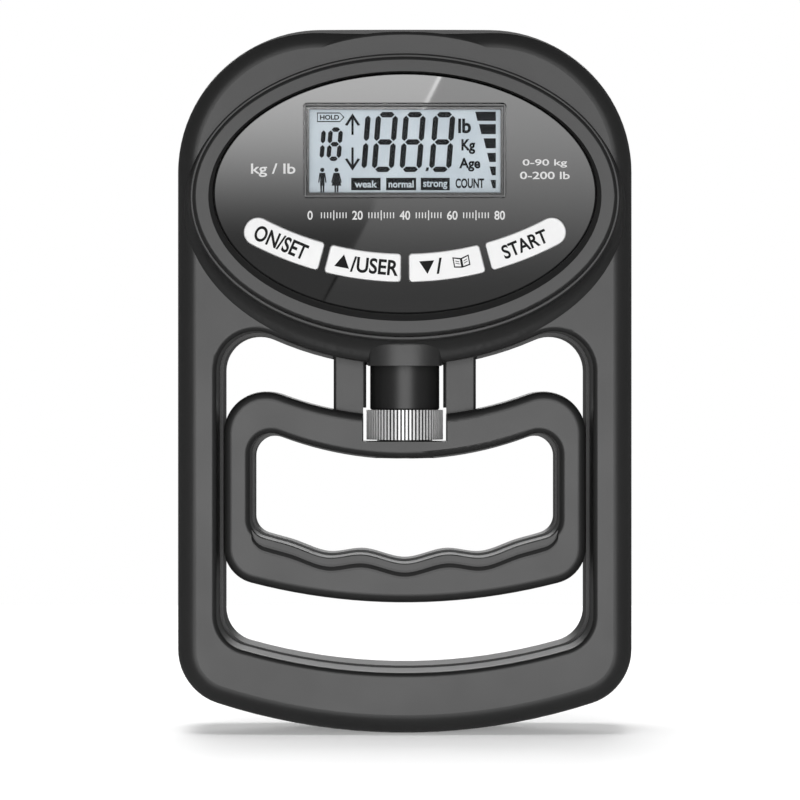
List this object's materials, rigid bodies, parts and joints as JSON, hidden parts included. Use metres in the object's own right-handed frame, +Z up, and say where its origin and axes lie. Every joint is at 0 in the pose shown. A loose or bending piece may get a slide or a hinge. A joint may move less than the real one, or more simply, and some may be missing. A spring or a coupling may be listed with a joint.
{
  "type": "hand dynamometer",
  "caption": "Electronic hand dynamometer: rounded frame with an oval display head, four keys and an inner finger grip set by a knurled adjuster on a load-cell rod.",
  "frame": {"origin": "under the middle of the bowed lower bar, at the centre of the bounding box's bottom", "axes": "+Z up from the lower bar to the display head, display facing -Y, +X to the right as seen from the display side"},
  "size_m": [0.123, 0.031, 0.1904],
  "materials": {
    "shell": "satin moulded ABS",
    "grip": "satin moulded ABS",
    "bezel": "semi-gloss ABS",
    "panel": "smoked gloss acrylic",
    "window": "clear acrylic",
    "lcd": "reflective liquid crystal glass",
    "white_plastic": "white ABS",
    "keycap": "white satin ABS",
    "silicone": "moulded silicone",
    "pcb": "green solder mask",
    "black_component": "moulded epoxy",
    "steel": "zinc plated steel",
    "spring_steel": "nickel plated spring wire",
    "aluminium": "machined aluminium alloy",
    "gauge_foil": "polyimide film gauge",
    "cable": "PVC insulated lead",
    "black_acetal": "black acetal",
    "knurl": "plated knurled band",
    "brass": "turned brass",
    "natural_acetal": "natural acetal",
    "battery": "printed sleeve on steel can",
    "label": "blank silver film"
  },
  "bodies": {
    "frame": {"front_shell": "shell", "rear_shell": "shell", "oval_bezel": "bezel", "face_panel": "panel", "display_window": "window", "lcd_glass": "lcd", "lcd_holder": "white_plastic", "zebra_strip": "silicone", "keypad_mat": "silicone", "main_board": "pcb", "board_screws": "steel", "mcu_chip": "black_component", "adc_chip": "black_component", "crystal": "steel", "buzzer": "black_component", "load_cell": "aluminium", "cell_screws": "steel", "strain_gauge_left": "gauge_foil", "strain_gauge_right": "gauge_foil", "gauge_cable": "cable", "sleeve_bush": "natural_acetal", "battery_cell_upper": "battery", "battery_cell_lower": "battery", "battery_spring_upper": "spring_steel", "battery_spring_lower": "spring_steel", "contact_bridge": "spring_steel", "contact_upper": "spring_steel", "contact_lower": "spring_steel", "door_pin": "steel", "rear_label": "label", "shell_screws": "steel"},
    "pull_rod": {"draw_rod": "steel", "rod_washer": "steel", "rod_nut": "steel", "rod_lock_nut": "steel"},
    "inner_grip": {"grip_front": "grip", "grip_rear": "grip", "grip_screws": "steel"},
    "adjuster": {"knob_sleeve": "black_acetal", "knurled_ring": "knurl", "threaded_insert": "brass", "thrust_washer": "steel", "retaining_clip": "spring_steel"},
    "on_set_key": {"key_on_set": "keycap"},
    "up_key": {"key_up": "keycap"},
    "down_key": {"key_down": "keycap"},
    "start_key": {"key_start": "keycap"},
    "rear_door": {"battery_door": "shell"}
  },
  "joints": [
    {"name": "squeeze", "type": "slide", "parent": "frame", "child": "pull_rod", "axis": [0, 0, -1], "range_m": [0, 0.0004], "stiffness_N_per_m": 2000000, "springref_m": -0.00002, "deforming": ["load_cell", "strain_gauge_left", "strain_gauge_right"]},
    {"name": "grip_height", "type": "slide", "parent": "pull_rod", "child": "inner_grip", "axis": [0, 0, 1], "range_m": [-0.008, 0.011]},
    {"name": "adjuster_spin", "type": "hinge", "parent": "inner_grip", "child": "adjuster", "pos_m": [0, 0.0035, 0.0835], "axis": [0, 0, 1], "range_deg": [-2880.16, 3960.11]},
    {"name": "press_on_set", "type": "slide", "parent": "frame", "child": "on_set_key", "axis": [0, 1, 0], "range_m": [0, 0.0008], "stiffness_N_per_m": 1500, "springref_m": -0.0002, "deforming": ["keypad_mat"]},
    {"name": "press_up", "type": "slide", "parent": "frame", "child": "up_key", "axis": [0, 1, 0], "range_m": [0, 0.0008], "stiffness_N_per_m": 1500, "springref_m": -0.0002, "deforming": ["keypad_mat"]},
    {"name": "press_down", "type": "slide", "parent": "frame", "child": "down_key", "axis": [0, 1, 0], "range_m": [0, 0.0008], "stiffness_N_per_m": 1500, "springref_m": -0.0002, "deforming": ["keypad_mat"]},
    {"name": "press_start", "type": "slide", "parent": "frame", "child": "start_key", "axis": [0, 1, 0], "range_m": [0, 0.0008], "stiffness_N_per_m": 1500, "springref_m": -0.0002, "deforming": ["keypad_mat"]},
    {"name": "battery_door_hinge", "type": "hinge", "parent": "frame", "child": "rear_door", "pos_m": [0, 0.0139, 0.1462], "axis": [-1, 0, 0], "range_deg": [0, 95]}
  ],
  "couplings": [
    {"joint": "adjuster_spin", "follows": "grip_height", "rad_per_m": 6283.2}
  ]
}
